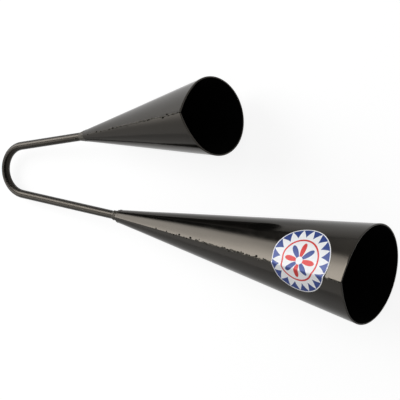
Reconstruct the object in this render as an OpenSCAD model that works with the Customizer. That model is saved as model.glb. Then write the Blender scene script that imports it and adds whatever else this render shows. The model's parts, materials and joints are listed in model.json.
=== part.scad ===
// Agogo: two sheet steel cone bells on the arms of one bent steel rod.
// Millimetres and degrees. The part lies at rest: +Z up, +X towards the mouths, +Y towards the small bell.

/* [Handle] */
// Diameter of the handle rod
rod_d = 7; // [5:0.05:8]
// Radius of the U bend, to the middle of the rod
bend_r = 20.8; // [16:0.2:30]
// Angle between each arm and the handle's middle line
splay = 8.1; // [6:0.1:12]
// Straight rod from the bend to the small bell's neck
small_arm_l = 70; // [50:0.5:110]
// Straight rod from the bend to the large bell's neck
large_arm_l = 101.5; // [75:0.5:140]
// Length of rod that goes on inside each neck
rod_in_neck = 12; // [6:0.5:20]

/* [Bells] */
// Thickness of the rolled steel sheet
sheet_t = 1.2; // [0.8:0.1:1.8]
// Length that the weld leaves open where the seam meets the mouth
slit_l = 3; // [1:0.5:8]
// Width of that open slit
slit_w = 0.5; // [0.2:0.1:1]

/* [Small bell] */
// Length from the neck's end to the middle of the mouth
small_bell_l = 125.8; // [100:0.5:160]
// Outer radius at the middle of the mouth
small_mouth_r = 31.6; // [25:0.1:38]
// Gap between the rod and the small bell's neck
small_neck_gap = 0.1; // [0.1:0.05:0.8]
// Angle round the bell from the seam ridge to the end of each flat
small_flat = 35; // [20:1:40]
// Angle that the seam leans outward from straight up
small_lean = 8; // [0:0.5:15]
// Angle that the mouth is cut back at the seam
small_rake = 12; // [0:0.5:15]

/* [Large bell] */
// Length from the neck's end to the middle of the mouth
large_bell_l = 231.5; // [190:0.5:290]
// Outer radius at the middle of the mouth
large_mouth_r = 38.6; // [32:0.1:46]
// Gap between the rod and the large bell's neck
large_neck_gap = 0.5; // [0.1:0.05:0.9]
// Angle round the bell from the seam ridge to the end of each flat
large_flat = 28; // [20:1:40]
// Angle that the seam leans outward from straight up
large_lean = 1; // [0:0.5:15]
// Angle that the mouth is cut back at the seam
large_rake = 4; // [0:0.5:15]

/* [Welds] */
// Radius of the bead along each seam
bead_r = 0.8; // [0.4:0.1:1.2]
// Distance from the neck's end to the start of each seam bead
bead_start = 2; // [1.5:0.5:6]
// Length of rod that the small neck's weld covers
small_weld_l = 6; // [3:0.5:10]
// Length of rod that the large neck's weld covers
large_weld_l = 3.5; // [2:0.5:8]
// Height of the small neck's weld above the sheet
small_weld_rise = 0.15; // [0.05:0.05:0.6]
// Height of the large neck's weld above the sheet
large_weld_rise = 0.5; // [0.1:0.05:0.6]
// Radius of the drop of weld spatter on the small arm
spatter_r = 0.9; // [0.4:0.1:1.4]
// Distance from the small neck's weld to that drop
spatter_gap = 3.5; // [1:0.5:12]

/* [Label] */
// Radius of the round label on the large bell
label_r = 26.5; // [15:0.5:30]
// Thickness of the label
label_t = 0.15; // [0.1:0.05:0.3]
// Thickness of the label's glue
glue_t = 0.05; // [0.02:0.01:0.1]
// Distance along the seam ridge from the neck's end to the label's middle
label_along = 190; // [150:1:195]
// Distance from the seam ridge to the label's middle
label_aside = 7; // [0:0.5:12]

/* [Hidden] */
$fn = 96;

// The two sides of the handle, as the sign of their place across it
small = 1;
large = -1;
rod_r = rod_d / 2;
paint = [0.07, 0.07, 0.065];
weld_paint = [0.09, 0.088, 0.08];
// Angle by which the flats stop short of the line where they touch the round wall
tangent_lap = 1.5;
// Overrun of the cuts past the faces that they open
cut_over = 1;
// Step between the points that measure a rim, in degrees
rim_step = 1;
// Rounds of settling onto the surface
settle_rounds = 8;
// Azimuth of the spatter on the rod, from straight up towards the other arm
spatter_azimuth = 25;
// Steps of the neck weld's rounded outline, in degrees
weld_step = 15;

function arm_l(side) = side == small ? small_arm_l : large_arm_l;
function bell_l(side) = side == small ? small_bell_l : large_bell_l;
function mouth_r(side) = side == small ? small_mouth_r : large_mouth_r;
function flat_of(side) = side == small ? small_flat : large_flat;
function lean(side) = side == small ? small_lean : large_lean;
function rake(side) = side == small ? small_rake : large_rake;
function neck_bore_r(side) = rod_r + (side == small ? small_neck_gap : large_neck_gap);
function neck_r(side) = neck_bore_r(side) + sheet_t;
function weld_l(side) = side == small ? small_weld_l : large_weld_l;
function weld_rise(side) = side == small ? small_weld_rise : large_weld_rise;

// Radius that the cone gains for each unit of length, and its half angle
function taper(side) = (mouth_r(side) - neck_r(side)) / bell_l(side);
function cone_angle(side) = atan(taper(side));
// The ridge, where the two flats meet, stands this many times further out than the round wall
function ridge_ratio(side) = 1 / cos(flat_of(side));
function ridge_angle(side) = atan(taper(side) * ridge_ratio(side));
// Length of a cone long enough to hold the slanted mouth
function uncut_l(side) = bell_l(side) + 2 * mouth_r(side) * tan(rake(side)) + sheet_t;
// A size past every part of a bell, for the cutting blocks
function reach(side) = 2 * mouth_r(side) + bell_l(side);

// Outline of the outer wall at an angle from the ridge, as a multiple of the round wall's radius
function outline_ratio(side, az) = abs(az) < flat_of(side) ? 1 / cos(flat_of(side) - abs(az)) : 1;
// Place along the axis where the slanted mouth cuts the wall at that angle
function mouth_z(side, az) =
    let (back = tan(rake(side)) * outline_ratio(side, az) * cos(az))
    (bell_l(side) - back * neck_r(side)) / (1 + taper(side) * back);
// Length of the ridge from the neck's end to the mouth
function ridge_l(side) = mouth_z(side, 0) / cos(ridge_angle(side));

// A point of a bell's own frame, in the handle's frame
function in_handle(side, p) =
    let (along = arm_l(side) + p.z, across = side * bend_r - p.y, turn = side * splay)
    [along * cos(turn) - across * sin(turn), along * sin(turn) + across * cos(turn), p.x];
// A point of the outer rim, at an angle from the ridge
function rim_point(side, az) =
    let (z = mouth_z(side, az), r = outline_ratio(side, az) * (neck_r(side) + taper(side) * z))
    in_handle(side, [r * cos(az - side * lean(side)), r * sin(az - side * lean(side)), z]);
function rim(side) = [for (az = [-180 : rim_step : 180 - rim_step]) rim_point(side, az)];
small_rim = rim(small);
large_rim = rim(large);

// Resting pose: the plane that both rims and the bend touch, found by turning towards it in rounds
function unit(v) = v / norm(v);
function lowest(points, up) =
    let (heights = [for (p = points) p * up], least = min(heights))
    [for (i = [0 : len(points) - 1]) if (heights[i] == least) points[i]][0];
function bend_lowest(up) = -bend_r * unit([up.x, up.y, 0]) - rod_r * up;
function rest_normal(up) =
    let (b = bend_lowest(up), s = lowest(small_rim, up), l = lowest(large_rim, up))
    unit(cross(l - b, s - b));
function settle(up, rounds) = rounds == 0 ? up : settle(rest_normal(up), rounds - 1);
start_up = unit([mouth_r(large), 0, arm_l(large) + bell_l(large)]);
row_z = settle(start_up, settle_rounds);
row_x = unit([1, 0, 0] - row_z.x * row_z);
row_y = cross(row_z, row_x);

// The origin lies on the surface, under the middle of the part
both_rims = concat(small_rim, large_rim);
x_low = -bend_r * norm([row_x.x, row_x.y]) - rod_r;
x_high = max([for (p = both_rims) p * row_x]);
y_low = min([for (p = both_rims) p * row_y]);
y_high = max([for (p = both_rims) p * row_y]);
z_low = bend_lowest(row_z) * row_z;

module at_rest() {
    translate([-(x_low + x_high) / 2, -(y_low + y_high) / 2, -z_low])
        multmatrix([
            [row_x.x, row_x.y, row_x.z, 0],
            [row_y.x, row_y.y, row_y.z, 0],
            [row_z.x, row_z.y, row_z.z, 0]])
            children();
}

// Frame of an arm: Z along the rod towards the bell from the start of the straight, X up
module on_arm(side) {
    at_rest()
        rotate([0, 0, side * splay])
            translate([0, side * bend_r, 0])
                rotate([0, 90, 0])
                    rotate([0, 0, 180])
                        children();
}

// Frame of a bell: Z along its axis from the neck's end, X towards the seam ridge
module on_bell(side) {
    on_arm(side)
        translate([0, 0, arm_l(side)])
            rotate([0, 0, -side * lean(side)])
                children();
}

// Frame of the ridge: Z along the ridge towards the mouth, X outward
module on_ridge(side) {
    translate([ridge_ratio(side) * neck_r(side), 0, 0])
        rotate([0, ridge_angle(side), 0])
            children();
}

// Frame of one flat beside the ridge: X straight out of it, Z along the ridge, Y across it
module on_flat(side, hand) {
    slope = atan(tan(flat_of(side)) * sin(cone_angle(side)));
    rotate([0, 0, hand * flat_of(side)])
        translate([neck_r(side), 0, 0])
            rotate([0, cone_angle(side), 0])
                translate([0, -hand * neck_r(side) * tan(flat_of(side)), 0])
                    rotate([hand * slope, 0, 0])
                        children();
}

// The bell as a filled shape between two places on its axis, with its faces moved out by a distance
module filled(side, out, from, to) {
    far = reach(side);
    start_r = neck_r(side) + out / cos(cone_angle(side));
    ridge_half = flat_of(side) - tangent_lap;
    translate([0, 0, from])
        cylinder(r1 = start_r + taper(side) * from, r2 = start_r + taper(side) * to, h = to - from);
    intersection() {
        translate([0, 0, from])
            linear_extrude(to - from)
                polygon([[0, 0], [far, -far * tan(ridge_half)], [far, far * tan(ridge_half)]]);
        inside_flats(side, out);
    }
}

// All that lies under both flats, with each flat moved out by a distance
module inside_flats(side, out) {
    far = reach(side);
    intersection_for (hand = [-1, 1])
        on_flat(side, hand)
            translate([out - far, -far, -far])
                cube([far, 2 * far, 3 * far]);
}

// Everything beyond the slanted mouth
module past_mouth(side) {
    far = reach(side);
    translate([0, 0, bell_l(side)])
        rotate([0, rake(side), 0])
            translate([-far, -far, 0])
                cube([2 * far, 2 * far, far]);
}

module bell(side) {
    on_bell(side)
        difference() {
            filled(side, 0, 0, uncut_l(side));
            filled(side, -sheet_t, -cut_over, uncut_l(side) + cut_over);
            past_mouth(side);
            on_ridge(side)
                translate([-3 * sheet_t, -slit_w / 2, ridge_l(side) - slit_l])
                    cube([4 * sheet_t, slit_w, 2 * slit_l]);
        }
}

// Round bar along the ridge, from the bead's start to the slit
module ridge_bar(side, radius) {
    on_ridge(side)
        translate([0, 0, bead_start])
            cylinder(r = radius, h = ridge_l(side) - slit_l - bead_start);
}

// Bead along the ridge, with the corner of the two flats taken out of it
module seam_bead(side) {
    difference() {
        ridge_bar(side, bead_r);
        inside_flats(side, 0);
    }
}

// Fillet that joins the rod to the end of the neck
module neck_weld(side) {
    rise = neck_r(side) + weld_rise(side) - rod_r;
    on_bell(side)
        rotate_extrude()
            polygon(concat([[rod_r, 0]],
                [for (a = [0 : weld_step : 90]) [rod_r + rise * cos(a), -weld_l(side) * sin(a)]]));
}

module arm(side) {
    on_arm(side)
        cylinder(r = rod_r, h = arm_l(side) + rod_in_neck);
}

module handle_bend() {
    color(paint)
        at_rest()
            rotate([0, 0, 90 + splay])
                rotate_extrude(angle = 180 - 2 * splay)
                    translate([bend_r, 0])
                        circle(r = rod_r);
}

module large_side_arm() {
    color(paint) arm(large);
}

module small_side_arm() {
    color(paint) arm(small);
}

module large_bell() {
    color(paint) bell(large);
}

module small_bell() {
    color(paint) bell(small);
}

module large_seam_weld() {
    color(weld_paint) on_bell(large) seam_bead(large);
}

module small_seam_weld() {
    color(weld_paint) on_bell(small) seam_bead(small);
}

module large_neck_weld() {
    color(weld_paint) neck_weld(large);
}

module small_neck_weld() {
    color(weld_paint) neck_weld(small);
}

// A round label wrapped over the ridge: one piece on each side of the bead
module label() {
    far = reach(large);
    color([0.86, 0.86, 0.88])
        on_bell(large)
            difference() {
                intersection() {
                    filled(large, glue_t + label_t, 0, uncut_l(large));
                    for (hand = [-1, 1])
                        intersection() {
                            on_flat(large, hand)
                                translate([-label_r, -label_aside, label_along])
                                    rotate([0, 90, 0])
                                        cylinder(r = label_r, h = 2 * label_r);
                            translate([0, hand < 0 ? -far : 0, 0])
                                cube([far, far, far]);
                        }
                }
                filled(large, glue_t, -cut_over, uncut_l(large) + cut_over);
                ridge_bar(large, bead_r + glue_t);
            }
}

// Drop of weld metal on the rod, with the rod's own round taken out of it
module weld_spatter() {
    color(weld_paint)
        on_arm(small)
            difference() {
                rotate([0, 0, spatter_azimuth])
                    translate([rod_r, 0, arm_l(small) - small_weld_l - spatter_gap])
                        sphere(r = spatter_r);
                cylinder(r = rod_r, h = arm_l(small));
            }
}

handle_bend();
large_side_arm();
small_side_arm();
large_bell();
small_bell();
large_seam_weld();
small_seam_weld();
large_neck_weld();
small_neck_weld();
label();
weld_spatter();
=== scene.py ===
"""An agogo in a studio: two rolled steel cone bells welded to one springy rod handle."""
import json
import logging
import math
from dataclasses import asdict, dataclass
from enum import Enum

import bmesh
import bpy
import numpy as np
from mathutils import Matrix, Vector, noise


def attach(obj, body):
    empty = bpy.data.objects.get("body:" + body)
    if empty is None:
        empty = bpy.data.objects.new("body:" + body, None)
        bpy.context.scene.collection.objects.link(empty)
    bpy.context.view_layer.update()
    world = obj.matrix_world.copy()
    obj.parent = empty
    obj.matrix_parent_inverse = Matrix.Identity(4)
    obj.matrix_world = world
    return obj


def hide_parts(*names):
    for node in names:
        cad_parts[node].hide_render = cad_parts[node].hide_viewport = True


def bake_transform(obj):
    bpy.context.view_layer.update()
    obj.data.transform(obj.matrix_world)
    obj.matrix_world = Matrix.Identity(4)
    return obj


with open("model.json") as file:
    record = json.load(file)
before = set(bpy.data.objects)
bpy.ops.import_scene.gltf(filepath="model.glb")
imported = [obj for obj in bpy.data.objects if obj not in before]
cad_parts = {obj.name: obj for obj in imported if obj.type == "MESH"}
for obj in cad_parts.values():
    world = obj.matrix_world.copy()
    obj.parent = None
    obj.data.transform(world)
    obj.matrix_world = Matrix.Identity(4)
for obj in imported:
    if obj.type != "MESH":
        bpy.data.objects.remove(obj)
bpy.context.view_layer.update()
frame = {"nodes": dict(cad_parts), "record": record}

log = logging.getLogger("agogo")

Colour = tuple[float, float, float]
Span = tuple[float, float]
Socket = bpy.types.NodeSocket
Material = bpy.types.Material
Piece = bpy.types.Object
Node = bpy.types.Node
Tree = bpy.types.NodeTree
Links = dict[str | int, object]
Edge = tuple[Socket, Span, float]
Face = tuple[int, ...]
Points = np.ndarray | list

MM = 0.001
LARGE_BODY = "large_side"
SMALL_BODY = "small_side"

# Points nearer to each other than this are one point.
SAME_POINT = 0.0005 * MM
# Angles between faces, in degrees, from which an edge stays sharp.
SHARP_STEEL = 35.0
SHARP_ROD = 50.0
SHARP_LABEL = 60.0
# Octaves of noise in even skins, clouds of overspray, rubbed places, and a bead's lumps and ripple.
SKIN_DETAIL = 2
CLOUD_DETAIL = 4
RUB_DETAIL = 5
LUMP_DETAIL = 3
RIPPLE_DETAIL = 1
# Sides of a bead of weld, and the share of its height that its ripple has.
BEAD_SIDES = 14
RIPPLE_SHARE = 0.3
# Least and greatest size of a bead's drops against their usual one, and how often they are rounded.
DROP_SCALES = (0.45, 1.25)
DROP_ROUNDS = 2


class Side(Enum):
    """The handle's two sides, by the sign of their place across it."""

    SMALL = 1
    LARGE = -1

    @property
    def body(self) -> str:
        """The name of the body that this side's pieces ride on."""
        return SMALL_BODY if self is Side.SMALL else LARGE_BODY

    @property
    def word(self) -> str:
        """The side's name at the start of its nodes' names."""
        return self.name.lower()


@dataclass(frozen=True)
class HandleSizes:
    """Sizes of the bent rod, in metres and degrees."""

    rod_r: float = 3.5 * MM
    bend_r: float = 20.8 * MM
    splay: float = 8.1
    rod_in_neck: float = 12 * MM
    small_arm_l: float = 70 * MM
    large_arm_l: float = 101.5 * MM

    def arm_l(self, side: Side) -> float:
        """Length of straight rod from the bend to the bell's neck on one side."""
        return self.small_arm_l if side is Side.SMALL else self.large_arm_l


@dataclass(frozen=True)
class BellSizes:
    """Sizes of one rolled bell, in metres and degrees."""

    side: Side
    length: float
    mouth_r: float
    neck_gap: float
    flat: float
    lean: float
    rake: float
    sheet_t: float = 1.2 * MM
    slit_l: float = 3 * MM
    slit_w: float = 0.5 * MM
    rim_round: float = 0.35 * MM
    crown: float = 2.1
    dent_depth: float = 0.14 * MM
    dent_size: float = 26 * MM
    dent_free: float = 12


@dataclass(frozen=True)
class BeadSizes:
    """Sizes of a ragged bead of weld and of the drops of metal beside it."""

    drops: int
    radius: float = 0.45 * MM
    step: float = 0.3 * MM
    ripple: float = 1.2 * MM
    wave: float = 3.4 * MM
    height: float = 1.25 * MM
    drop_size: float = 0.75 * MM
    spread: float = 1.05 * MM

    def lay(self, name: str, path: Points, tree: Tree, seed: int, material: Material) -> Piece:
        """Lays the bead along a path, with drops drawn from the seed."""
        values = {word.replace("_", " ").capitalize(): size for word, size in asdict(self).items()}
        return grow(name, path, tree, values | {"Seed": seed, "Material": material})


SMALL_BELL = BellSizes(
    Side.SMALL,
    length=125.8 * MM,
    mouth_r=31.6 * MM,
    neck_gap=0.1 * MM,
    flat=35,
    lean=8,
    rake=12,
)
LARGE_BELL = BellSizes(
    Side.LARGE,
    length=231.5 * MM,
    mouth_r=38.6 * MM,
    neck_gap=0.5 * MM,
    flat=28,
    lean=1,
    rake=4,
)
SMALL_SEAM_BEAD = BeadSizes(drops=22)
LARGE_SEAM_BEAD = BeadSizes(drops=76)
NECK_BEAD = BeadSizes(
    drops=10,
    radius=0.5 * MM,
    step=0.35 * MM,
    ripple=1.3 * MM,
    wave=3 * MM,
    height=0.9 * MM,
    drop_size=0.55 * MM,
    spread=0.4 * MM,
)

# How deep each seam's bead lies below the ridge, by its place along it, both in millimetres.
# It sinks at the neck, and on the large bell under the label.
SMALL_SEAM_DEPTHS = ((0, 1.1), (30, 0.6), (45, 0.1), (70, 0.05), (90, 0.3), (105, 0.0))
LARGE_SEAM_DEPTHS = (
    (0, 1.6), (40, 1.5), (80, 0.5), (115, 0.1), (150, -0.15),
    (164, 0.0), (166, 1.3), (212, 1.3), (214, -0.4),
)


def unit(vector: np.ndarray | list[float]) -> np.ndarray:
    """Returns the vector at length 1."""
    array = np.array(vector, float)
    return array / np.linalg.norm(array)


class HandleFrame:
    """The handle's own axes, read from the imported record's joint and mounts."""

    def __init__(self, record: dict) -> None:
        """Reads the axes.

        Args:
            record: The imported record.
        """
        mounts = {mount["name"]: mount for mount in record["mounts"]}
        self.centre = np.array(record["behaviour"]["joints"][0]["pos_m"], float)
        self.along = unit(mounts["handle_hook"]["axis"])
        self.across = unit(mounts["handle_rod"]["axis"])
        self.up = np.cross(self.along, self.across)

    def arm_axes(self, side: Side, splay: float) -> tuple[np.ndarray, np.ndarray, np.ndarray]:
        """Gives an arm's axes.

        Args:
            side: The arm's side.
            splay: Angle between the arm and the handle's middle line, in degrees.

        Returns:
            The arm's X (up), Y and Z (towards the bell) directions.
        """
        turn = math.radians(side.value * splay)
        forward = math.cos(turn) * self.along + math.sin(turn) * self.across
        outward = -math.sin(turn) * self.along + math.cos(turn) * self.across
        return self.up, -outward, forward

    def arm_start(self, side: Side, sizes: HandleSizes) -> np.ndarray:
        """Gives the point where the bend turns into the straight arm."""
        outward = -self.arm_axes(side, sizes.splay)[1]
        return self.centre + side.value * sizes.bend_r * outward


class BellForm:
    """The rolled sheet's shape: a round cone with two slightly crowned flats that meet in a ridge."""

    def __init__(self, sizes: BellSizes, handle: HandleSizes, axes: HandleFrame) -> None:
        """Places the bell on its arm.

        Args:
            sizes: The bell's sizes.
            handle: The handle's sizes.
            axes: The handle's axes.
        """
        side = sizes.side
        self.sizes = sizes
        arm_x, arm_y, self.forward = axes.arm_axes(side, handle.splay)
        turn = math.radians(-side.value * sizes.lean)
        self.to_ridge = math.cos(turn) * arm_x + math.sin(turn) * arm_y
        self.aside = -math.sin(turn) * arm_x + math.cos(turn) * arm_y
        self.origin = axes.arm_start(side, handle) + handle.arm_l(side) * self.forward
        self.neck_r = handle.rod_r + sizes.neck_gap + sizes.sheet_t
        self.taper = (sizes.mouth_r - self.neck_r) / sizes.length
        self.cone = math.atan(self.taper)
        self.flat = math.radians(sizes.flat)
        self.ridge_ratio = 1 / math.cos(self.flat)
        shift = sizes.crown - 1
        flat_end = (2 * sizes.crown - 1 - self.ridge_ratio**2) / (2 * self.ridge_ratio * shift)
        self.round_end = math.acos(flat_end)

    def ratio(self, azimuth: np.ndarray) -> np.ndarray:
        """Gives the outline as a multiple of the round wall's radius.

        Each flat is an arc of the crown's radius that runs smoothly from the round wall to the ridge.

        Args:
            azimuth: Angles from the ridge, in radians.

        Returns:
            The multiples.
        """
        crown = self.sizes.crown
        inside = self.round_end - np.minimum(np.abs(azimuth), self.round_end)
        shift = crown - 1
        return np.sqrt(crown**2 - (shift * np.sin(inside)) ** 2) - shift * np.cos(inside)

    def radius(self, azimuth: np.ndarray, along: np.ndarray, out: float = 0.0) -> np.ndarray:
        """Gives the wall's distance from the axis, at a distance along it and outside the outer face."""
        return self.ratio(azimuth) * (self.neck_r + out / math.cos(self.cone) + self.taper * along)

    def mouth(self, azimuth: np.ndarray, out: float = 0.0) -> np.ndarray:
        """Gives the place along the axis where the slanted mouth cuts the wall.

        Args:
            azimuth: Angles from the ridge, in radians.
            out: Distance outside the outer face.

        Returns:
            The distances from the neck's end.
        """
        back = math.tan(math.radians(self.sizes.rake)) * self.ratio(azimuth) * np.cos(azimuth)
        start = self.neck_r + out / math.cos(self.cone)
        return (self.sizes.length - back * start) / (1 + self.taper * back)

    def place(self, azimuth: np.ndarray, along: np.ndarray, radius: np.ndarray) -> np.ndarray:
        """Turns polar places about the bell's axis into points of the frame."""
        arm = np.cos(azimuth)[..., None] * self.to_ridge + np.sin(azimuth)[..., None] * self.aside
        return self.origin + radius[..., None] * arm + along[..., None] * self.forward

    def dents(self, points: np.ndarray, azimuth: np.ndarray, along: np.ndarray) -> np.ndarray:
        """Gives how far the hand rolled sheet lies inside its true cone.

        Args:
            points: Points of the true wall.
            azimuth: Their angles from the ridge, in radians.
            along: Their distances from the neck's end.

        Returns:
            Depths in metres, none at the ridge and at the neck.
        """
        size = self.sizes.dent_size
        wave = np.array([noise.noise(Vector(point) / size) for point in points.reshape(-1, 3)])
        off_ridge = np.clip(np.abs(azimuth) / math.radians(self.sizes.dent_free), 0, 1)
        free = off_ridge * np.clip(along / size, 0, 1)
        return self.sizes.dent_depth * (0.5 + 0.5 * wave.reshape(azimuth.shape)) * free

    def wall(self, azimuth: np.ndarray, along: np.ndarray, out: float | np.ndarray = 0.0) -> np.ndarray:
        """Gives points of the dented wall.

        Args:
            azimuth: Angles from the ridge, in radians.
            along: Distances from the neck's end.
            out: Distance outside the outer face.

        Returns:
            Points of the frame, one for each pair.
        """
        true = self.place(azimuth, along, self.radius(azimuth, along))
        radius = self.radius(azimuth, along, out) - self.dents(true, azimuth, along)
        return self.place(azimuth, along, radius)

    def ridge_point(self, along: float, out: float = 0.0) -> np.ndarray:
        """Gives a point of the ridge, at a distance from the neck's end along the axis."""
        zero = np.zeros(1)
        return self.place(zero, zero + along, self.radius(zero, zero + along, out))[0]

    def arm(self, azimuth: float) -> np.ndarray:
        """Gives the direction from the axis at an angle from the ridge."""
        return math.cos(azimuth) * self.to_ridge + math.sin(azimuth) * self.aside


def linear(value: int) -> float:
    """Turns one part of a screen colour, 0 to 255, into a linear share."""
    share = value / 255
    return share / 12.92 if share <= 0.04045 else ((share + 0.055) / 1.055) ** 2.4


def srgb(red: int, green: int, blue: int) -> Colour:
    """Turns a colour as it is seen on a screen, 0 to 255, into the linear colour that renders as it."""
    return linear(red), linear(green), linear(blue)


class NodeSketch:
    """A node tree, built one node at a time."""

    def __init__(self, tree: Tree) -> None:
        """Starts on the tree of a material, of the world or of a modifier."""
        self.tree = tree

    def feed(self, value: object, target: Socket) -> None:
        """Links a socket to an input, or sets the input to a value.

        Args:
            value: A socket, a number, a colour or a material.
            target: The input.
        """
        if isinstance(value, Socket):
            self.tree.links.new(value, target)
        elif target.type == "RGBA":
            target.default_value = (*value, 1)
        else:
            target.default_value = value

    def node(self, kind: str, links: Links | None = None, **settings: object) -> Node:
        """Adds a node.

        Args:
            kind: The node's type.
            links: What goes into each of its inputs, by the input's name or number.
            settings: Its properties.

        Returns:
            The node.
        """
        made = self.tree.nodes.new(kind)
        for key, value in settings.items():
            setattr(made, key, value)
        for key, value in (links or {}).items():
            if isinstance(key, str):
                named = [socket for socket in made.inputs if socket.name == key]
                target = next((socket for socket in named if socket.enabled), named[0])
            else:
                target = made.inputs[key]
            self.feed(value, target)
        return made

    def add(self, kind: str, links: Links | None = None, **settings: object) -> Socket:
        """Adds a node and returns its first output."""
        return self.node(kind, links, **settings).outputs[0]

    def math(self, operation: str, *values: object) -> Socket:
        """Adds a Math node on sockets or numbers and returns its output."""
        return self.add("ShaderNodeMath", dict(enumerate(values)), operation=operation)

    def product(self, *values: object) -> Socket:
        """Multiplies two sockets or numbers and returns the result."""
        return self.math("MULTIPLY", *values)

    def ease(self, *values: object, kind: str = "SMOOTHSTEP") -> Socket:
        """Maps a value between a start and an end onto low to high, given in that order."""
        return self.add("ShaderNodeMapRange", dict(enumerate(values)), interpolation_type=kind)

    def framed(self, glow: object, edges: tuple[Edge, ...]) -> Socket:
        """Lets a brightness fade out past soft edges.

        Args:
            glow: The brightness between the edges.
            edges: For each edge the angle, where it starts and ends and the share of glow before it.

        Returns:
            The faded brightness.
        """
        for angle, edge, share in edges:
            glow = self.product(glow, self.ease(angle, *edge, share, 1.0 - share))
        return glow

    def parts(self, vector: Socket) -> list[Socket]:
        """Returns a vector's three numbers."""
        return list(self.node("ShaderNodeSeparateXYZ", {0: vector}).outputs)

    def emission(self, strength: object) -> Socket:
        """Adds a white glow of a strength and returns it."""
        return self.add("ShaderNodeEmission", {"Strength": strength})

    def blend(self, share: Socket, low: Socket, high: Socket) -> Socket:
        """Mixes two surfaces by a share and returns the result."""
        return self.add("ShaderNodeMixShader", {0: share, 1: low, 2: high})

    def in_gloss(self) -> Socket:
        """Gives 1 for rays off gloss or through glass, and 0 for others."""
        path = self.node("ShaderNodeLightPath")
        return self.math("MAXIMUM", path.outputs["Is Glossy Ray"], path.outputs["Is Transmission Ray"])

    def to_camera(self) -> Socket:
        """Gives 1 for what the camera sees directly, and 0 for others."""
        return self.node("ShaderNodeLightPath").outputs["Is Camera Ray"]


class Shader(NodeSketch):
    """A material's node tree."""

    def __init__(self, name: str) -> None:
        """Starts a material with a Principled shader.

        Args:
            name: The material's name.
        """
        self.material = bpy.data.materials.new(name)
        self.material.use_nodes = True
        super().__init__(self.material.node_tree)
        self.principled = self.tree.nodes["Principled BSDF"]
        coordinates = self.node("ShaderNodeTexCoord")
        self.place = coordinates.outputs["Object"]
        self.print = coordinates.outputs["UV"]

    def noise(self, wave: float, detail: float) -> Socket:
        """Adds a noise on the object, of a wavelength in metres, and returns its value."""
        links = {"Vector": self.place, "Scale": 1 / wave, "Detail": detail}
        return self.add("ShaderNodeTexNoise", links)

    def bump(self, wave: float, depth: float, below: Links | None = None) -> Socket:
        """Adds an even skin of a wavelength and a depth in metres, over the skin that is linked below it."""
        links = {"Height": self.noise(wave, SKIN_DETAIL), "Distance": depth} | (below or {})
        return self.add("ShaderNodeBump", links)

    def mix(self, share: Socket, low: object, high: object) -> Socket:
        """Mixes two colours, each a socket or a colour, by a share and returns the result."""
        return self.node("ShaderNodeMix", {0: share, 6: low, 7: high}, data_type="RGBA").outputs[2]

    def between(self, value: Socket, low: object, high: object) -> Socket:
        """Gives 1 where a value lies between two others, and 0 elsewhere."""
        above = self.math("GREATER_THAN", value, low)
        return self.product(above, self.math("LESS_THAN", value, high))

    def matte(self, share: float) -> Socket:
        """Adds a matte grey of a share of white and returns it."""
        return self.add("ShaderNodeBsdfDiffuse", {"Color": (share, share, share)})

    def glowing(self, share: float, glow: object) -> Socket:
        """Adds a matte grey that glows and returns it."""
        return self.add("ShaderNodeAddShader", {0: self.matte(share), 1: self.emission(glow)})

    def dress(self, looks: dict[str, object]) -> Material:
        """Feeds the Principled shader.

        Args:
            looks: What goes into each of its inputs, by the input's name.

        Returns:
            The material.
        """
        for name, value in looks.items():
            self.feed(value, self.principled.inputs[name])
        return self.material


@dataclass(frozen=True)
class SatinEnamel:
    """Black enamel sprayed on bare steel: satin, with a fine orange peel and rubbed places."""

    name: str
    dark: Colour = (0.0022, 0.0022, 0.0021)
    light: Colour = (0.0058, 0.0055, 0.0048)
    cloud_wave: float = 22 * MM
    rub_wave: float = 5 * MM
    rubbed: Span = (0.35, 0.65)
    roughness: Span = (0.08, 0.14)
    specular: float = 0.36
    tint: Colour = (1.0, 0.885, 0.74)
    peel_wave: float = 1.1 * MM
    peel_depth: float = 0.012 * MM
    grit_wave: float = 0.35 * MM
    grit_depth: float = 0.004 * MM

    def build(self) -> Material:
        """Builds the material.

        Returns:
            The material.
        """
        shader = Shader(self.name)
        cloud = shader.noise(self.cloud_wave, CLOUD_DETAIL)
        rub = shader.noise(self.rub_wave, RUB_DETAIL)
        wear = shader.math("MULTIPLY_ADD", rub, 0.5, shader.product(cloud, 0.5))
        peel = shader.bump(self.peel_wave, self.peel_depth)
        looks = {
            "Base Color": shader.mix(cloud, self.dark, self.light),
            "Roughness": shader.ease(wear, *self.rubbed, *self.roughness, kind="LINEAR"),
            "Normal": shader.bump(self.grit_wave, self.grit_depth, {"Normal": peel}),
            "Specular IOR Level": self.specular,
            "Specular Tint": self.tint,
        }
        return shader.dress(looks)


@dataclass(frozen=True)
class PaintedShadeHollow:
    """The bells' inside as painted shade: dead black and matte, standing for an unlit hollow, with a trace
    of overspray.
    """

    name: str = "Hollow black"
    # Painted shade: this dead black colour, with a rough finish and almost no gloss, keeps the inside dark
    # whatever light falls in.
    colour: Colour = (0.0012, 0.0012, 0.0012)
    overspray: Colour = (0.0030, 0.0029, 0.0027)
    spray_wave: float = 9 * MM
    roughness: float = 0.95
    specular: float = 0.02

    def build(self) -> Material:
        """Builds the material.

        Returns:
            The material.
        """
        shader = Shader(self.name)
        spray = shader.noise(self.spray_wave, CLOUD_DETAIL)
        looks = {
            "Base Color": shader.mix(spray, self.colour, self.overspray),
            "Roughness": self.roughness,
            "Specular IOR Level": self.specular,
        }
        return shader.dress(looks)


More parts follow.
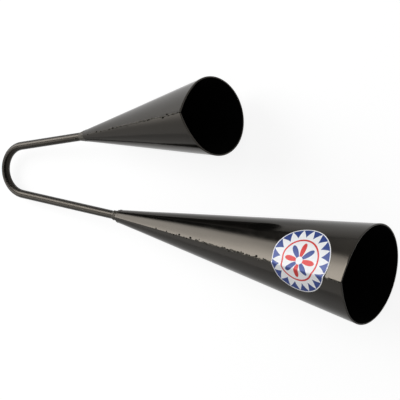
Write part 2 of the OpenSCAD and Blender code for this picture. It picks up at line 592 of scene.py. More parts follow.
@dataclass(frozen=True)
class LabelPrint:
    """A glossy vinyl label, printed with a rim of triangles round a rosette."""

    name: str = "Label print"
    white: Colour = srgb(250, 250, 252)
    blue: Colour = srgb(38, 62, 132)
    red: Colour = srgb(206, 44, 42)
    teeth: int = 18
    petals: int = 8
    tooth: Span = (0.70, 0.972)
    band: Span = (0.585, 0.635)
    petal_share: float = 0.52
    petal_power: float = 0.8
    hub_share: float = 0.115
    ripple_wave: float = 6 * MM
    ripple_depth: float = 0.05 * MM
    roughness: float = 0.34
    specular: float = 0.3

    def build(self) -> Material:
        """Builds the material.

        Returns:
            The material.
        """
        shader = Shader(self.name)
        map_x, map_y, _ = shader.parts(shader.print)
        across = shader.math("MULTIPLY_ADD", map_x, 2, -1)
        along = shader.math("MULTIPLY_ADD", map_y, 2, -1)
        square = shader.math("ADD", shader.product(across, across), shader.product(along, along))
        reach = shader.math("SQRT", square)
        angle = shader.math("ARCTAN2", along, across)
        rim = shader.mix(self._teeth(shader, reach, angle), self.white, self.blue)
        banded = shader.mix(shader.between(reach, *self.band), rim, self.red)
        looks = {
            "Base Color": self._rosette(shader, reach, angle, banded),
            "Normal": shader.bump(self.ripple_wave, self.ripple_depth),
            "Roughness": self.roughness,
            "Specular IOR Level": self.specular,
        }
        return shader.dress(looks)

    def _teeth(self, shader: Shader, reach: Socket, angle: Socket) -> Socket:
        """Draws the rim of triangles.

        Args:
            shader: The material's nodes.
            reach: The distance from the middle.
            angle: The direction from it.

        Returns:
            1 on the triangles, and 0 elsewhere.
        """
        foot, tip = self.tooth
        wave = shader.math("PINGPONG", shader.product(angle, self.teeth / math.tau), 0.5)
        edge = shader.math("MULTIPLY_ADD", wave, (tip - foot) * 2, foot)
        return shader.between(reach, edge, tip)

    def _rosette(self, shader: Shader, reach: Socket, angle: Socket, colour: Socket) -> Socket:
        """Draws the petals and the hub.

        Args:
            shader: The material's nodes.
            reach: The distance from the middle.
            angle: The direction from it.
            colour: The colour that they are drawn on.

        Returns:
            The colour.
        """
        lobe = shader.math("ABSOLUTE", shader.math("COSINE", shader.product(angle, self.petals / 2)))
        edge = shader.product(shader.math("POWER", lobe, self.petal_power), self.petal_share)
        turn = shader.math("MULTIPLY_ADD", angle, self.petals / math.tau, 0.5)
        odd = shader.math("GREATER_THAN", shader.math("FLOORED_MODULO", turn, 2), 1)
        paint = shader.mix(odd, self.red, self.blue)
        colour = shader.mix(shader.math("LESS_THAN", reach, edge), colour, paint)
        return shader.mix(shader.math("LESS_THAN", reach, self.hub_share), colour, self.white)


@dataclass(frozen=True)
class PaleFloor:
    """A white sweep, which shows white to the camera; in gloss it has a painted glow, dim towards -Y and
    bright towards +Y, that stands in for the soft box's fall-off.
    """

    name: str = "Studio floor"
    shown: float = 0.22
    glow: float = 0.87
    lit: float = 0.86
    # Painted light: the glow that gloss sees on the floor, from dim to bright, and the span along Y where it
    # rises; it stands in for the soft box's fall-off.
    mirrored: Span = (0.10, 0.56)
    painted_falloff_edge: Span = (-0.20, 0.05)
    sheen_roughness: float = 0.40
    sheen_ior: float = 1.28

    def build(self) -> Material:
        """Builds the material.

        Returns:
            The material.
        """
        shader = Shader(self.name)
        seen = shader.glowing(self.shown, self.glow)
        # Painted light: in gloss the floor glows more towards +Y, as if lit more by the soft box there.
        painted_falloff = shader.ease(shader.parts(shader.place)[1], *self.painted_falloff_edge, *self.mirrored)
        mirrored = shader.glowing(self.lit, painted_falloff)
        sheen = shader.add("ShaderNodeBsdfAnisotropic", {"Roughness": self.sheen_roughness})
        glazed = shader.blend(shader.add("ShaderNodeFresnel", {"IOR": self.sheen_ior}), mirrored, sheen)
        surface = shader.blend(shader.in_gloss(), shader.matte(self.lit), glazed)
        surface = shader.blend(shader.to_camera(), surface, seen)
        shader.feed(surface, shader.tree.nodes["Material Output"].inputs["Surface"])
        shader.tree.nodes.remove(shader.principled)
        return shader.material


@dataclass(frozen=True)
class StudioLook:
    """What gloss mirrors: walls, a dark ceiling, a soft box, the dark gap beside it and a window.

    Angles are in degrees, round from the mouths' side or up from level. A pair is a soft edge's two
    ends, or what the edge goes from and to.
    """

    wall: float = 0.85
    end_wall: float = 1.15
    end_wall_edge: Span = (-0.65, -0.95)
    ceiling: float = 0.08
    ceiling_edge: Span = (26.0, 58.0)
    gap: float = 0.02
    gap_right: Span = (120.2, 122.2)
    gap_left: Span = (136.0, 140.0)
    gap_slant: float = 0.45
    box_glow: Span = (5.4, 11.5)
    box_heart: Span = (26.0, 36.0)
    box_right: Span = (130.3, 136.4)
    box_slant: float = 0.28
    box_level: float = 20.0
    box_left: Span = (154.0, 182.0)
    box_foot: Span = (4.0, 16.0)
    box_head: Span = (50.0, 61.0)
    window: float = 3.6
    window_right: Span = (186.0, 200.0)
    window_left: Span = (208.0, 220.0)
    window_foot: Span = (8.0, 22.0)
    window_head: Span = (46.0, 60.0)
    mirrored_twice: float = 0.1

    def build(self, sketch: NodeSketch) -> Socket:
        """Draws the studio by direction.

        Args:
            sketch: The world's nodes.

        Returns:
            The brightness.
        """
        ahead, aside, up = sketch.parts(sketch.node("ShaderNodeTexCoord").outputs["Generated"])
        rise = sketch.product(sketch.math("ARCSINE", up), math.degrees(1))
        turn = sketch.product(sketch.math("ARCTAN2", aside, ahead), math.degrees(1))
        turn = sketch.math("FLOORED_MODULO", turn, 360)
        walls = sketch.ease(ahead, *self.end_wall_edge, self.wall, self.end_wall)
        room = sketch.product(walls, sketch.ease(rise, *self.ceiling_edge, 1.0, self.ceiling))
        past_wall = sketch.math("MULTIPLY_ADD", rise, -self.gap_slant, turn)
        gap_edges = ((past_wall, self.gap_right, 0.0), (turn, self.gap_left, 1.0))
        in_gap = sketch.framed(1.0, gap_edges)
        room = sketch.product(room, sketch.math("MULTIPLY_ADD", in_gap, self.gap - 1, 1.0))
        level_turn = sketch.math("SUBTRACT", turn, self.box_level * self.box_slant)
        box_edges = (
            (sketch.math("MULTIPLY_ADD", rise, self.box_slant, level_turn), self.box_right, 0.0),
            (turn, self.box_left, 1.0),
            (rise, self.box_foot, 0.0),
            (rise, self.box_head, 1.0),
        )
        box = sketch.framed(sketch.ease(rise, *self.box_heart, *self.box_glow), box_edges)
        window_edges = (
            (turn, self.window_right, 0.0),
            (turn, self.window_left, 1.0),
            (rise, self.window_foot, 0.0),
            (rise, self.window_head, 1.0),
        )
        bright = sketch.math("ADD", box, sketch.framed(self.window, window_edges))
        depth = sketch.node("ShaderNodeLightPath").outputs["Glossy Depth"]
        once = sketch.ease(depth, 1.0, 2.0, 1.0, self.mirrored_twice)
        return sketch.math("ADD", room, sketch.product(bright, once))


class GeoTree(NodeSketch):
    """A geometry node tree with named inputs, built one node at a time."""

    def __init__(self, name: str) -> None:
        """Starts a tree with a geometry input and output.

        Args:
            name: The tree's name.
        """
        super().__init__(bpy.data.node_groups.new(name, "GeometryNodeTree"))
        for side in ("INPUT", "OUTPUT"):
            self.tree.interface.new_socket("Geometry", in_out=side, socket_type="NodeSocketGeometry")
        self.inputs = self.node("NodeGroupInput")

    def sizes(self, *names: str, kind: str = "NodeSocketFloat") -> list[Socket]:
        """Adds named inputs.

        Args:
            names: Their names.
            kind: Their type.

        Returns:
            Their sockets inside the tree.
        """
        for name in names:
            self.tree.interface.new_socket(name, in_out="INPUT", socket_type=kind)
        return [self.inputs.outputs[name] for name in names]

    def path(self, step: Socket) -> Socket:
        """Turns the modified object's edges into a curve of even steps and returns it."""
        curve = self.add("GeometryNodeMeshToCurve", {"Mesh": self.inputs.outputs["Geometry"]})
        return self.add("GeometryNodeResampleCurve", {"Curve": curve, "Length": step}, mode="LENGTH")

    def bar(self, path: Socket, radius: Socket, sides: object) -> Socket:
        """Sweeps a round bar with closed ends along a path and returns it."""
        ring = self.add("GeometryNodeCurvePrimitiveCircle", {"Resolution": sides, "Radius": radius})
        return self.add("GeometryNodeCurveToMesh", {"Curve": path, "Profile Curve": ring, "Fill Caps": True})

    def lumps(self, wave: object, detail: float) -> Socket:
        """Adds a noise on the position, of a wavelength in metres, and returns it from -1 to 1."""
        links = {"Scale": self.math("DIVIDE", 1.0, wave), "Detail": detail}
        return self.math("MULTIPLY_ADD", self.add("ShaderNodeTexNoise", links), 2.0, -1.0)

    def swollen(self, mesh: Socket, height: Socket) -> Socket:
        """Moves a mesh's points out along their normals, each by its height, and returns it."""
        links = {0: self.add("GeometryNodeInputNormal"), "Scale": height}
        return self.moved(mesh, self.add("ShaderNodeVectorMath", links, operation="SCALE"))

    def moved(self, shape: Socket, offset: Socket) -> Socket:
        """Moves a shape's points and returns it."""
        return self.add("GeometryNodeSetPosition", {"Geometry": shape, "Offset": offset})

    def finish(self, mesh: Socket) -> Tree:
        """Ends the tree with smooth shading, realized instances and the material.

        Args:
            mesh: The finished shape.

        Returns:
            The tree.
        """
        [material] = self.sizes("Material", kind="NodeSocketMaterial")
        smooth = self.add("GeometryNodeSetShadeSmooth", {"Geometry": mesh})
        whole = self.add("GeometryNodeRealizeInstances", {"Geometry": smooth})
        dressed = self.add("GeometryNodeSetMaterial", {"Geometry": whole, "Material": material})
        self.node("NodeGroupOutput", {0: dressed})
        return self.tree


def swept_bar_tree() -> Tree:
    """Builds the tree that sweeps a round bar along a path and roughens its skin.

    Returns:
        The tree, with inputs Radius, Step, Sides, Wave, Height and Material.
    """
    tree = GeoTree("Swept bar")
    radius, step, wave, height = tree.sizes("Radius", "Step", "Wave", "Height")
    [sides] = tree.sizes("Sides", kind="NodeSocketInt")
    bar = tree.bar(tree.path(step), radius, sides)
    return tree.finish(tree.swollen(bar, tree.product(tree.lumps(wave, SKIN_DETAIL), height)))


def weld_bead_tree() -> Tree:
    """Builds the tree that lays a ragged weld bead along a path and throws drops of metal beside it.

    Returns:
        The tree, with an input for each of a bead's sizes, its seed and its material.
    """
    tree = GeoTree("Weld bead")
    radius, step, ripple = tree.sizes("Radius", "Step", "Ripple")
    wave, height, drop_size, spread = tree.sizes("Wave", "Height", "Drop size", "Spread")
    drops, seed = tree.sizes("Drops", "Seed", kind="NodeSocketInt")
    path = tree.path(step)
    lump = tree.product(tree.math("MAXIMUM", tree.lumps(wave, LUMP_DETAIL), 0.0), height)
    fine = tree.product(tree.lumps(ripple, RIPPLE_DETAIL), tree.product(height, RIPPLE_SHARE))
    bead = tree.swollen(tree.bar(path, radius, BEAD_SIDES), tree.math("ADD", lump, fine))
    points = tree.add("GeometryNodeCurveToPoints", {"Curve": path, "Count": drops})
    corners = [
        tree.add("ShaderNodeCombineXYZ", {"X": reach, "Y": reach, "Z": reach})
        for reach in (tree.product(spread, -1.0), spread)
    ]
    draw = {**dict(enumerate(corners)), "Seed": seed}
    thrown = tree.moved(points, tree.add("FunctionNodeRandomValue", draw, data_type="FLOAT_VECTOR"))
    ball = tree.add("GeometryNodeMeshIcoSphere", {"Radius": drop_size, "Subdivisions": DROP_ROUNDS})
    draw = {"Min": DROP_SCALES[0], "Max": DROP_SCALES[1], "Seed": seed}
    scale = tree.node("FunctionNodeRandomValue", draw, data_type="FLOAT").outputs[1]
    links = {"Points": thrown, "Instance": ball, "Scale": scale}
    balls = tree.add("GeometryNodeInstanceOnPoints", links)
    both = tree.node("GeometryNodeJoinGeometry")
    for part in (bead, balls):
        tree.feed(part, both.inputs[0])
    return tree.finish(both.outputs[0])


def add_object(name: str, data: bpy.types.ID) -> Piece:
    """Adds an object to the scene.

    Args:
        name: The object's name.
        data: Its mesh, lamp or camera.

    Returns:
        The object.
    """
    made = bpy.data.objects.new(name, data)
    bpy.context.scene.collection.objects.link(made)
    return made


def mesh_object(name: str, points: Points, edges: list, faces: list[Face]) -> Piece:
    """Adds a mesh object to the scene.

    Args:
        name: The object's name.
        points: Its points.
        edges: Its loose edges, as pairs of point numbers.
        faces: Its faces, as tuples of point numbers.

    Returns:
        The object.
    """
    mesh = bpy.data.meshes.new(name)
    mesh.from_pydata([tuple(point) for point in points], edges, faces)
    return add_object(name, mesh)


def grow(name: str, path: Points, tree: Tree, values: dict[str, object]) -> Piece:
    """Runs a geometry node tree on a path of edges and keeps the result as a plain mesh.

    Args:
        name: The object's name.
        path: The path's points.
        tree: The tree.
        values: The tree's inputs by name.

    Returns:
        The object.
    """
    piece = mesh_object(name, path, [(start, start + 1) for start in range(len(path) - 1)], [])
    modifier = piece.modifiers.new(tree.name, "NODES")
    modifier.node_group = tree
    for item in tree.interface.items_tree:
        if item.in_out == "INPUT" and item.name in values:
            modifier[item.identifier] = values[item.name]
    graph = bpy.context.evaluated_depsgraph_get()
    mesh = bpy.data.meshes.new_from_object(piece.evaluated_get(graph))
    piece.modifiers.clear()
    piece.data = mesh
    turn_outward(piece)
    return piece


def turn_outward(piece: Piece) -> None:
    """Deletes an object's loose points, merges its doubled ones and points all of its faces outward.

    Args:
        piece: The object.
    """
    shape = bmesh.new()
    shape.from_mesh(piece.data)
    loose = [vertex for vertex in shape.verts if not vertex.link_faces]
    bmesh.ops.delete(shape, geom=loose, context="VERTS")
    bmesh.ops.remove_doubles(shape, verts=shape.verts, dist=SAME_POINT)
    bmesh.ops.recalc_face_normals(shape, faces=shape.faces)
    shape.to_mesh(piece.data)
    shape.free()


def shell(name: str, points: Points, faces: list[Face], materials: list[Material], sharp: float) -> Piece:
    """Makes a closed mesh object, smooth but for its sharp edges.

    Args:
        name: The object's name.
        points: Its points.
        faces: Its faces, as tuples of point numbers.
        materials: Its materials.
        sharp: Angle between faces, in degrees, from which an edge stays sharp.

    Returns:
        The object.
    """
    piece = mesh_object(name, points, [], faces)
    for material in materials:
        piece.data.materials.append(material)
    turn_outward(piece)
    piece.data.shade_smooth()
    piece.data.set_sharp_from_angle(angle=math.radians(sharp))
    return piece


def ring_faces(
    columns: int, rows: int, left_out: frozenset[tuple[int, int]] = frozenset()
) -> list[Face]:
    """Gives the faces between closed loops of points that stand in a ring.

    Args:
        columns: The number of loops.
        rows: The number of points in each.
        left_out: The faces that are left out, as pairs of a loop and a point.

    Returns:
        The faces, as tuples of point numbers.
    """
    faces = []
    for column in range(columns):
        here, after = column * rows, (column + 1) % columns * rows
        for row in range(rows):
            below = (row + 1) % rows
            if (column, row) not in left_out:
                faces.append((here + row, here + below, after + below, after + row))
    return faces


@dataclass
class Finishes:
    """The materials that the pieces share."""

    enamel: Material
    rod: Material
    weld: Material
    neck: Material
    # The bells' inside: painted shade, dead black and matte.
    hollow: Material
    label: Material

    @classmethod
    def build(cls) -> "Finishes":
        """Builds every material once.

        Returns:
            The materials.
        """
        rod = SatinEnamel("Enamel on rod", roughness=(0.24, 0.36), peel_depth=0.004 * MM)
        weld = SatinEnamel(
            "Enamel on welds",
            dark=(0.016, 0.0155, 0.0128),
            light=(0.036, 0.0345, 0.028),
            roughness=(0.20, 0.36),
            specular=0.24,
            peel_wave=0.6 * MM,
            peel_depth=0.03 * MM,
        )
        neck = SatinEnamel(
            "Enamel on neck welds",
            dark=(0.012, 0.0115, 0.0095),
            light=(0.038, 0.0362, 0.029),
            roughness=(0.26, 0.42),
            peel_wave=0.9 * MM,
            peel_depth=0.05 * MM,
        )
        looks = (SatinEnamel("Satin black enamel"), rod, weld, neck, PaintedShadeHollow(), LabelPrint())
        return cls(*(look.build() for look in looks))


@dataclass
class Handle:
    """The bent rod: one bar from inside one neck, round the bend, to inside the other."""

    sizes: HandleSizes
    axes: HandleFrame
    bend_steps: int = 48
    sides: int = 40
    ring_step: float = 1.1 * MM
    skin_wave: float = 9 * MM
    skin_height: float = 0.02 * MM

    def path(self) -> np.ndarray:
        """Gives the middle line's points, from inside the large neck to inside the small one.

        Returns:
            The points.
        """
        sizes, axes = self.sizes, self.axes
        ends = {}
        for side in Side:
            forward = axes.arm_axes(side, sizes.splay)[2]
            ends[side] = axes.arm_start(side, sizes) + (sizes.arm_l(side) + sizes.rod_in_neck) * forward
        sweep = math.radians(90 + sizes.splay)
        turns = np.linspace(math.tau - sweep, sweep, self.bend_steps)[:, None]
        bend = axes.centre + sizes.bend_r * (np.cos(turns) * axes.along + np.sin(turns) * axes.across)
        return np.vstack([ends[Side.LARGE], bend, ends[Side.SMALL]])

    def build(self, tree: Tree, finishes: Finishes) -> Piece:
        """Sweeps the bar in place of the imported bend and arms.

        Args:
            tree: The swept bar's tree.
            finishes: The shared materials.

        Returns:
            The rod.
        """
        values = {
            "Radius": self.sizes.rod_r - self.skin_height,
            "Step": self.ring_step,
            "Sides": self.sides,
            "Wave": self.skin_wave,
            "Height": self.skin_height,
            "Material": finishes.rod,
        }
        rod = grow("handle_rod", self.path(), tree, values)
        rod.data.set_sharp_from_angle(angle=math.radians(SHARP_ROD))
        start = self.axes.arm_start(Side.LARGE, self.sizes)
        end = self.axes.arm_start(Side.SMALL, self.sizes)
        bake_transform(rod)
        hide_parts("handle_bend", "large_side_arm", "small_side_arm")
        return rod


@dataclass
class Bell:
    """One rolled bell: a closed shell of sheet with an open slit at its mouth's corner."""

    form: BellForm
    columns: int = 144
    rows: int = 56
    inner_rows: int = 40
    arc_steps: int = 5
    beside_slit: float = 3.0
    rim_facing: float = 0.7

    def azimuths(self) -> np.ndarray:
        """Gives the angles of the wall's columns, with the slit's two sides among them.

        Returns:
            The angles from the ridge, in radians.
        """
        sizes = self.form.sizes
        slit = sizes.slit_w / 2 / (self.form.ridge_ratio * sizes.mouth_r)
        step = math.tau / self.columns
        near = [slit, slit * self.beside_slit, step / 2]
        far = [column * step for column in range(1, self.columns // 2)]
        half = sorted(near + far)
        return np.array([0.0, *half, math.pi, *(-angle for angle in reversed(half))])

    def profile(self, azimuth: float) -> np.ndarray:
        """Gives one closed loop of points: out along the outer wall, round the rim and back inside.

        Args:
            azimuth: The loop's angle from the ridge, in radians.

        Returns:
            The loop's points.
        """
        sizes = self.form.sizes
        outer = self._line(azimuth, 0.0, self.rows)
        inner = self._line(azimuth, -sizes.sheet_t, self.inner_rows)
        rise = unit(outer[-1] - outer[-2])
        cross = unit(inner[-1] - outer[-1])
        turns = np.linspace(0, math.pi / 2, self.arc_steps)[:, None]
        back = sizes.rim_round * (1 - np.sin(turns)) * rise
        aside = sizes.rim_round * (1 - np.cos(turns)) * cross
        outer_arc = outer[-1] - back + aside
        inner_arc = (inner[-1] - back - aside)[::-1]
        return np.vstack([outer[:-1], outer_arc, inner_arc, inner[:-1][::-1]])

    def _line(self, azimuth: float, out: float, rows: int) -> np.ndarray:
        """Gives points of the wall from the neck to the mouth, with one at the slit's start.

        Args:
            azimuth: The line's angle from the ridge, in radians.
            out: Distance outside the outer face.
            rows: The number of points up to the slit's start.

        Returns:
            The points.
        """
        end = float(self.form.mouth(np.array([azimuth]), out)[0])
        slit_l = self.form.sizes.slit_l
        along = np.append(np.linspace(0, end - slit_l, rows), [end - slit_l / 2, end])
        return self.form.wall(np.full(len(along), azimuth), along, out)

    def build(self, finishes: Finishes) -> Piece:
        """Builds the wall as one closed mesh, with the slit at the mouth's corner left open.

        Args:
            finishes: The shared materials.

        Returns:
            The bell.
        """
        loops = [self.profile(angle) for angle in self.azimuths()]
        size = len(loops[0])
        last = len(loops) - 1
        first_row = self.rows - 1
        last_row = size - self.inner_rows
        slit = frozenset((column, row) for column in (0, last) for row in range(first_row, last_row))
        faces = ring_faces(len(loops), size, slit)
        side = list(range(first_row, last_row + 1))
        faces.append(tuple(size + row for row in side))
        faces.append(tuple(last * size + row for row in reversed(side)))
        for here, after in ((0, size), (last * size, 0)):
            faces.append((here + first_row, after + first_row, after + last_row, here + last_row))
        word = self.form.sizes.side.word
        # The second material paints shade onto the inner wall.
        materials = [finishes.enamel, finishes.hollow]
        piece = shell(f"{word}_bell_shell", np.vstack(loops), faces, materials, SHARP_STEEL)
        self._paint_inside(piece)
        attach(piece, self.form.sizes.side.body)
        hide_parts(f"{word}_bell")
        return piece

    def _paint_inside(self, piece: Piece) -> None:
        """Gives the inner wall's faces the hollow's painted shade, a dead black matte finish.

        Args:
            piece: The bell.
        """
        origin, forward = Vector(self.form.origin), Vector(self.form.forward)
        for face in piece.data.polygons:
            from_neck = face.center - origin
            from_axis = from_neck - from_neck.dot(forward) * forward
            inward = face.normal.dot(from_axis) < 0
            if inward and face.normal.dot(forward) <= self.rim_facing:
                face.material_index = 1


@dataclass
class SeamWeld:
    """The ragged bead along a bell's ridge, with the drops beside it."""

    form: BellForm
    sizes: BeadSizes
    depths: tuple[Span, ...]
    seed: int
    start: float = 2 * MM
    wander: float = 1.0 * MM
    steps: int = 160

    def build(self, tree: Tree, finishes: Finishes) -> Piece:
        """Lays the bead.

        Args:
            tree: The weld bead's tree.
            finishes: The shared materials.

        Returns:
            The bead.
        """
        form = self.form
        end = float(form.mouth(np.zeros(1))[0]) - form.sizes.slit_l
        points = []
        for place in np.linspace(self.start, end, self.steps):
            drift = self.wander * noise.noise(Vector((place / self.sizes.wave, self.seed, 0)))
            depth = MM * float(np.interp(place / MM, *zip(*self.depths)))
            points.append(form.ridge_point(place, -depth) + drift * form.aside)
        side = form.sizes.side
        bead = self.sizes.lay(f"{side.word}_seam_bead", points, tree, self.seed, finishes.weld)
        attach(bead, side.body)
        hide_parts(f"{side.word}_seam_weld")
        return bead


class NeckShape(Enum):
    """How the weld at a neck looks."""

    TAPER = "filed down to a taper that carries on the cone's own"
    COLLAR = "a rough collar on the rod, with a gap before the sheet's edge"


@dataclass
class NeckWeld:
    """The weld that closes a neck on the rod, wound with a string of bead where it is a collar."""

    form: BellForm
    shape: NeckShape
    rod_r: float
    length: float
    seed: int
    rise: float = 0.06 * MM
    collar_h: float = 0.45 * MM
    collar_lean: float = 0.8
    collar_fullness: float = 0.6
    gap: float = 0.7 * MM
    lump: float = 0.22 * MM
    lump_wave: float = 2.4 * MM
    lump_turn: float = 3.0
    lump_pace: float = 1.7
    buried: float = 0.5 * MM
    bead_turns: float = 5.0
    bead_steps: int = 240
    over: float = 2.8 * MM
    flush: float = 0.35 * MM
    skin_steps: int = 12
    columns: int = 120

    def skin(self) -> list[tuple[float, float]]:
        """Gives the outline of the weld's outer face.

        Returns:
            Pairs of a radius and a place along the axis.
        """
        form = self.form
        shares = np.linspace(0, 1, self.skin_steps)
        if self.shape is NeckShape.TAPER:
            start = 2 * self.buried
            top = form.neck_r + self.rise + form.taper * start
            reach = self.length + start
            return [(top + (self.rod_r - top) * share, start - reach * share) for share in shares]
        hump = np.sin(math.pi * shares**self.collar_lean) ** self.collar_fullness * self.collar_h
        reach = self.length - self.gap
        return [(self.rod_r + rise, -self.gap - reach * share) for rise, share in zip(hump, shares)]

    def body(self, finishes: Finishes) -> Piece:
        """Builds the weld's body as a ring with a lumpy skin.

        Args:
            finishes: The shared materials.

        Returns:
            The body.
        """
        form = self.form
        inner = self.rod_r - self.buried
        outer = self.rod_r + form.sizes.neck_gap
        core = [(inner, -self.length), (inner, self.buried), (outer, self.buried)]
        profile = core + self.skin()
        points = []
        for column in range(self.columns):
            azimuth = column * math.tau / self.columns
            across, aside = math.cos(azimuth) * self.lump_turn, math.sin(azimuth) * self.lump_turn
            for index, (radius, along) in enumerate(profile):
                spot = Vector((across, aside, along / self.lump_wave + self.seed)) * self.lump_pace
                outside = len(core) < index < len(profile) - 1
                bulge = self.lump * noise.noise(spot) if outside else 0.0
                points.append(form.origin + (radius + bulge) * form.arm(azimuth) + along * form.forward)
        name = f"{form.sizes.side.word}_neck_body"
        return shell(name, points, ring_faces(self.columns, len(profile)), [finishes.neck], SHARP_STEEL)

    def bead(self, tree: Tree, finishes: Finishes) -> Piece:
        """Winds the string of bead round the rod, over the weld's body.

        Args:
            tree: The weld bead's tree.
            finishes: The shared materials.

        Returns:
            The string of bead.
        """
        form = self.form
        shares = np.linspace(0, 1, self.bead_steps)
        backs = -self.over + (self.length + self.over - NECK_BEAD.radius) * shares
        points = []
        for share, back in zip(shares, backs):
            turn = self.bead_turns * math.tau * share + self.seed
            sheet = float(form.radius(np.array([turn]), np.array([-back]))[0]) - self.flush
            reach = self.rod_r if back > 0 else sheet
            points.append(form.origin + reach * form.arm(turn) - back * form.forward)
        return NECK_BEAD.lay(f"{form.sizes.side.word}_neck_bead", points, tree, self.seed, finishes.neck)

    def build(self, tree: Tree, finishes: Finishes) -> list[Piece]:
        """Builds the weld.

        Args:
            tree: The weld bead's tree.
            finishes: The shared materials.

        Returns:
            The body, and the string of bead where the weld is a rough collar.
        """
        pieces = [self.body(finishes)]
        if self.shape is NeckShape.COLLAR:
            pieces.append(self.bead(tree, finishes))
        side = self.form.sizes.side
        for piece in pieces:
            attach(piece, side.body)
        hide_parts(f"{side.word}_neck_weld")
        return pieces


@dataclass
class Label:
    """The round label, wrapped over the large bell's ridge and its bead."""

    form: BellForm
    radius: float = 26.5 * MM
    thickness: float = 0.15 * MM
    glue: float = 0.05 * MM
    along: float = 190 * MM
    aside: float = -7 * MM
    rings: int = 44
    spokes: int = 180
    bead_height: float = 0.6 * MM
    bead_half_w: float = 3.5 * MM
    trim: float = 2.4 * MM
    trim_turn: float = 165.0
    trim_half_w: float = 34.0

    def spot(self, flat_x: np.ndarray, flat_y: np.ndarray, out: float) -> np.ndarray:
        """Wraps places of the flat label onto the bell.

        Args:
            flat_x: Distances along the ridge from the neck's end.
            flat_y: Distances to the side of the ridge.
            out: Distance outside the sheet.

        Returns:
            Points of the frame.
        """
        form = self.form
        slope = math.atan(form.taper * form.ridge_ratio)
        to_tip = form.neck_r / form.taper
        from_tip = flat_x + to_tip / math.cos(slope)
        reach = np.hypot(from_tip, flat_y)
        turn = np.arctan2(flat_y, from_tip)
        onward, inward, sideways = self._cross_flat(slope)
        ahead = reach * np.cos(turn)
        across = reach * np.sin(np.abs(turn))
        flat_azimuth = np.arctan2(across * sideways, ahead * math.sin(slope) - across * inward)
        flat_along = ahead * math.cos(slope) + across * onward
        past_flat = np.abs(turn) - math.acos(math.cos(slope) / math.cos(form.cone))
        cone_azimuth = form.flat + past_flat / math.sin(form.cone)
        azimuth = np.where(past_flat <= 0, flat_azimuth, cone_azimuth)
        along = np.where(past_flat <= 0, flat_along, reach * math.cos(form.cone)) - to_tip
        over_bead = self.bead_height * np.exp(-((flat_y / self.bead_half_w) ** 2))
        return form.wall(np.copysign(azimuth, turn), along, out + over_bead)

    def _cross_flat(self, slope: float) -> tuple[float, float, float]:
        """Gives the direction across a flat, square to the ridge.

        Args:
            slope: The ridge's angle to the bell's axis, in radians.

        Returns:
            How far it goes along the axis, towards it and sideways.
        """
        form = self.form
        ridge = np.array([math.cos(slope), math.sin(slope), 0.0])
        out = math.sin(form.cone)
        edge = np.array([math.cos(form.cone), out * math.cos(form.flat), out * math.sin(form.flat)])
        cross = unit(edge - np.dot(edge, ridge) * ridge)
        return float(cross[0]), float(-cross[1]), float(cross[2])

    def reach(self, map_x: np.ndarray, map_y: np.ndarray) -> np.ndarray:
        """Gives the disc's radius by direction, a little less where it is trimmed towards the neck.

        Args:
            map_x: Places on the print, along the ridge.
            map_y: Places on the print, to the side.

        Returns:
            The radii.
        """
        off = np.degrees(np.arctan2(map_y, map_x)) - self.trim_turn
        off = np.abs((off + 180) % 360 - 180) / self.trim_half_w
        return self.radius - self.trim * np.cos(np.minimum(off, 1) * math.pi / 2) ** 2

    def faces(self) -> list[Face]:
        """Gives the faces of the disc's top, underside and rim.

        Returns:
            The faces, as tuples of point numbers: the top's points come before the underside's.
        """
        count = 1 + self.rings * self.spokes
        outer = 1 + (self.rings - 1) * self.spokes
        faces = []
        for turn in range(self.spokes):
            after = (turn + 1) % self.spokes
            faces.append((0, 1 + turn, 1 + after))
            faces.append((count, count + 1 + after, count + 1 + turn))
            for low in range(1, outer, self.spokes):
                high = low + self.spokes
                top = (low + turn, high + turn, high + after, low + after)
                faces.append(top)
                faces.append((count + top[0], count + top[3], count + top[2], count + top[1]))
            faces.append((outer + turn, count + outer + turn, count + outer + after, outer + after))
        return faces

    def build(self, finishes: Finishes) -> Piece:
        """Builds the label as a thin closed disc with its print mapped on it.

        Args:
            finishes: The shared materials.

        Returns:
            The label.
        """
        shares = np.linspace(0, 1, self.rings + 1)[1:]
        turns = np.arange(self.spokes) * math.tau / self.spokes
        map_x = np.append([0.0], np.outer(shares, np.cos(turns)).ravel())
        map_y = np.append([0.0], np.outer(shares, np.sin(turns)).ravel())
        flat_x = self.along + self.reach(map_x, map_y) * map_x
        flat_y = self.aside + self.reach(map_x, map_y) * map_y
        sheets = [self.spot(flat_x, flat_y, out) for out in (self.glue + self.thickness, self.glue)]
        piece = shell("label_disc", np.vstack(sheets), self.faces(), [finishes.label], SHARP_LABEL)
        layer = piece.data.uv_layers.new(name="Print")
        spots = np.tile(np.stack([map_x, map_y], 1) / 2 + 0.5, (2, 1))
        corners = np.zeros(len(piece.data.loops), int)
        piece.data.loops.foreach_get("vertex_index", corners)
        layer.data.foreach_set("uv", spots[corners].astype(np.float32).ravel())
        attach(piece, LARGE_BODY)
        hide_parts("label")
        return piece


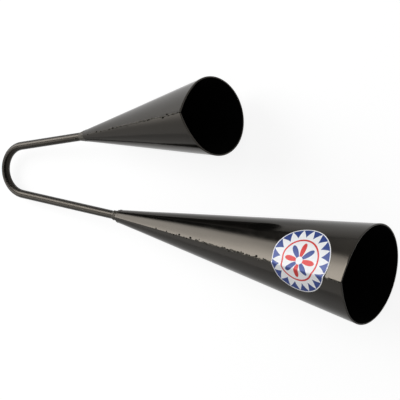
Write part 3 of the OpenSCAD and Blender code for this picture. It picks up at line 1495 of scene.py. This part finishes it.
@dataclass
class Studio:
    """The pale floor, the lamp, the world and the camera."""

    lens: float = 135.0
    sensor: float = 36.0
    camera_place: tuple[float, float, float] = (0.538180, 0.028940, 1.090662)
    camera_aim: tuple[float, float, float] = (0.023371, -0.005103, 0.030)
    camera_roll: float = 91.678
    floor_half: float = 12.0
    floor_drop: float = 3 * MM
    fill: float = 0.30
    backdrop: float = 1.0
    key_turn: float = 153.0
    key_rise: float = 27.0
    key_far: float = 1.3
    key_w: float = 0.80
    key_h: float = 1.02
    key_watts: float = 15.6

    def build_camera(self) -> None:
        """Sets the camera where the photographer stood."""
        data = bpy.data.cameras.new("Camera")
        data.lens = self.lens
        data.sensor_width = self.sensor
        place = Vector(self.camera_place)
        look = (Vector(self.camera_aim) - place).normalized()
        roll = Matrix.Rotation(math.radians(-self.camera_roll), 3, "Z")
        turn = look.to_track_quat("-Z", "Y").to_matrix() @ roll
        camera = add_object("Camera", data)
        camera.matrix_world = Matrix.Translation(place) @ turn.to_4x4()
        bpy.context.scene.camera = camera

    def build_floor(self) -> None:
        """Lays the floor as low as the small bell comes when the handle is squeezed."""
        half, low = self.floor_half, -self.floor_drop
        corners = [(-half, -half, low), (half, -half, low), (half, half, low), (-half, half, low)]
        floor = mesh_object("Studio_floor", corners, [], [(0, 1, 2, 3)])
        floor.data.materials.append(PaleFloor().build())

    def build_world(self) -> None:
        """Lights everything evenly, shows white to the camera and mirrors the studio in gloss."""
        world = bpy.data.worlds.new("Studio")
        bpy.context.scene.world = world
        world.use_nodes = True
        sketch = NodeSketch(world.node_tree)
        mirrored = sketch.emission(StudioLook().build(sketch))
        surface = sketch.blend(sketch.in_gloss(), sketch.emission(self.fill), mirrored)
        surface = sketch.blend(sketch.to_camera(), surface, sketch.emission(self.backdrop))
        sketch.feed(surface, world.node_tree.nodes["World Output"].inputs["Surface"])

    def build_key(self) -> None:
        """Hangs the soft box behind the handle, on the small bell's side, hidden from gloss."""
        turn, rise = math.radians(self.key_turn), math.radians(self.key_rise)
        back = Vector((math.cos(turn) * math.cos(rise), math.sin(turn) * math.cos(rise), math.sin(rise)))
        data = bpy.data.lights.new("Soft_box", "AREA")
        data.shape = "RECTANGLE"
        data.size = self.key_w
        data.size_y = self.key_h
        data.energy = self.key_watts
        lamp = add_object("Soft_box", data)
        facing = back.to_track_quat("Z", "Y").to_matrix().to_4x4()
        lamp.matrix_world = Matrix.Translation(self.key_far * back) @ facing
        lamp.visible_glossy = False

    def build(self) -> None:
        """Builds the whole studio."""
        bpy.context.scene.view_settings.view_transform = "Standard"
        self.build_camera()
        self.build_floor()
        self.build_world()
        self.build_key()


def report(piece: Piece) -> None:
    """Logs a piece's name and its number of triangles."""
    piece.data.calc_loop_triangles()
    log.info("%s: %d triangles", piece.name, len(piece.data.loop_triangles))


def main() -> None:
    """Builds the agogo and its studio, and reports each piece."""
    logging.basicConfig(level=logging.INFO, format="%(name)s: %(message)s")
    handle = HandleSizes()
    axes = HandleFrame(frame["record"])
    finishes = Finishes.build()
    bead_tree = weld_bead_tree()
    small = BellForm(SMALL_BELL, handle, axes)
    large = BellForm(LARGE_BELL, handle, axes)
    report(Handle(handle, axes).build(swept_bar_tree(), finishes))
    for form in (small, large):
        report(Bell(form).build(finishes))
    small_seam = SeamWeld(small, SMALL_SEAM_BEAD, SMALL_SEAM_DEPTHS, seed=3)
    large_seam = SeamWeld(large, LARGE_SEAM_BEAD, LARGE_SEAM_DEPTHS, seed=21)
    for seam in (small_seam, large_seam):
        report(seam.build(bead_tree, finishes))
    small_neck = NeckWeld(small, NeckShape.TAPER, handle.rod_r, length=6 * MM, seed=5)
    large_neck = NeckWeld(large, NeckShape.COLLAR, handle.rod_r, length=5 * MM, seed=11)
    for neck in (small_neck, large_neck):
        for piece in neck.build(bead_tree, finishes):
            report(piece)
    report(Label(large).build(finishes))
    spatter = frame["nodes"]["weld_spatter"]
    spatter.data.materials.clear()
    spatter.data.materials.append(finishes.weld)
    report(spatter)
    Studio().build()


if __name__ == "__main__":
    main()
